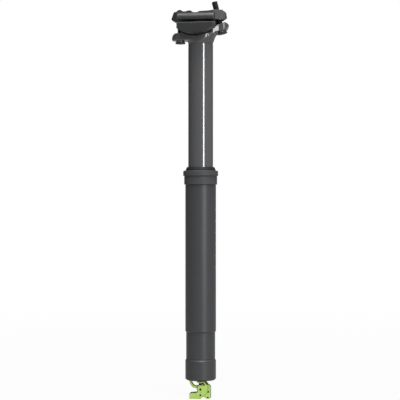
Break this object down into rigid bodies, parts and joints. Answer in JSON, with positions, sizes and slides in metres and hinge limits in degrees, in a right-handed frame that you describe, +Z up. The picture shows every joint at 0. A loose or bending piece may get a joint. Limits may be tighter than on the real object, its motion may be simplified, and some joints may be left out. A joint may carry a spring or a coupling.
{
  "type": "dropper seatpost",
  "caption": "Height-adjustable bicycle seatpost with a sliding inner tube, sealed gas cartridge, tilting two-bolt rail clamp and a cable rocker at its foot.",
  "frame": {"origin": "on the post axis at the insertion shoulder, where the frame's seat tube ends", "axes": "+Z up along the post axis, +X to the rear of the bicycle, +Y to its right-hand side"},
  "size_m": [0.0577, 0.052, 0.4007],
  "materials": {
    "outer_tube": "satin",
    "stanchion": "satin",
    "head": "satin",
    "clamp": "matte",
    "green_anodised": "satin",
    "black_steel": "satin",
    "steel": "satin",
    "aluminium": "satin",
    "brass": "satin",
    "bearing": "matte",
    "foam": "matte",
    "rubber": "matte"
  },
  "bodies": {
    "outer": {"lower_tube": "outer_tube", "collar": "outer_tube", "wiper_seal": "rubber", "foam_ring": "foam", "upper_bushing": "bearing", "collar_o_ring": "rubber", "end_cap": "outer_tube", "end_cap_o_ring": "rubber", "rod_nut": "steel", "bottom_out_bumper": "rubber", "cartridge_rod": "steel", "piston": "aluminium", "piston_seal": "rubber", "valve_cap": "aluminium", "return_spring": "steel", "actuator_base": "green_anodised", "rocker_pivot_pin": "steel", "rocker_stop_pin": "steel", "actuator_grub_screw": "steel"},
    "upper_post": {"stanchion": "stanchion", "lower_bushing": "bearing", "guide_keys": "brass", "seat_head": "head", "cartridge_body": "aluminium", "rod_guide": "aluminium", "rod_seal": "rubber", "cartridge_circlip": "steel", "cartridge_top_plug": "aluminium", "fill_screw": "steel", "top_out_bumper": "rubber"},
    "gas_divider": {"floating_piston": "aluminium", "floating_piston_seal": "rubber"},
    "rail_clamp": {"lower_cradle": "clamp", "upper_clamp": "clamp"},
    "front_nut": {"front_barrel_nut": "black_steel"},
    "rear_nut": {"rear_barrel_nut": "black_steel"},
    "front_bolt_set": {"front_bolt": "black_steel", "front_washer": "steel"},
    "rear_bolt_set": {"rear_bolt": "black_steel", "rear_washer": "steel"},
    "valve_pin": {"release_pin": "steel"},
    "rocker": {"actuator_rocker": "green_anodised"}
  },
  "joints": [
    {"name": "post_travel", "type": "slide", "parent": "outer", "child": "upper_post", "axis": [0, 0, 1], "range_m": [-0.125, 0]},
    {"name": "floating_piston_slide", "type": "slide", "parent": "upper_post", "child": "gas_divider", "axis": [0, 0, 1], "range_m": [-0.0001, 0.0284]},
    {"name": "saddle_tilt", "type": "hinge", "parent": "upper_post", "child": "rail_clamp", "pos_m": [-0.003, 0, 0.181], "axis": [0, 1, 0], "range_deg": [-8, 3]},
    {"name": "front_bolt_swing", "type": "hinge", "parent": "upper_post", "child": "front_bolt_set", "pos_m": [-0.0208, 0, 0.136], "axis": [0, 1, 0], "range_deg": [-0.84, 2.22]},
    {"name": "rear_bolt_swing", "type": "hinge", "parent": "upper_post", "child": "rear_bolt_set", "pos_m": [0.02394, 0, 0.14536], "axis": [0, 1, 0], "range_deg": [-1.32, 3.49]},
    {"name": "front_nut_turn", "type": "hinge", "parent": "rail_clamp", "child": "front_nut", "pos_m": [-0.0208, 0, 0.1722], "axis": [0, 1, 0], "range_deg": [-3.84, 10.22]},
    {"name": "rear_nut_turn", "type": "hinge", "parent": "rail_clamp", "child": "rear_nut", "pos_m": [0.0171, 0, 0.1722], "axis": [0, 1, 0], "range_deg": [-4.32, 11.49]},
    {"name": "rocker_pull", "type": "hinge", "parent": "outer", "child": "rocker", "pos_m": [0.0005, 0, -0.206], "axis": [0, -1, 0], "range_deg": [-0.01, 20.01]},
    {"name": "release_pin_push", "type": "slide", "parent": "outer", "child": "valve_pin", "axis": [0, 0, 1], "range_m": [0, 0.00175], "stiffness_N_per_m": 3000, "springref_m": -0.001, "deforming": ["return_spring"]}
  ],
  "couplings": [
    {"joint": "floating_piston_slide", "follows": "post_travel", "ratio": -0.22676},
    {"joint": "front_bolt_swing", "follows": "saddle_tilt", "ratio": -0.2765},
    {"joint": "rear_bolt_swing", "follows": "saddle_tilt", "ratio": -0.4355},
    {"joint": "front_nut_turn", "follows": "saddle_tilt", "ratio": -1.2765},
    {"joint": "rear_nut_turn", "follows": "saddle_tilt", "ratio": -1.4355},
    {"joint": "rocker_pull", "follows": "release_pin_push", "rad_per_m": 199.47}
  ]
}
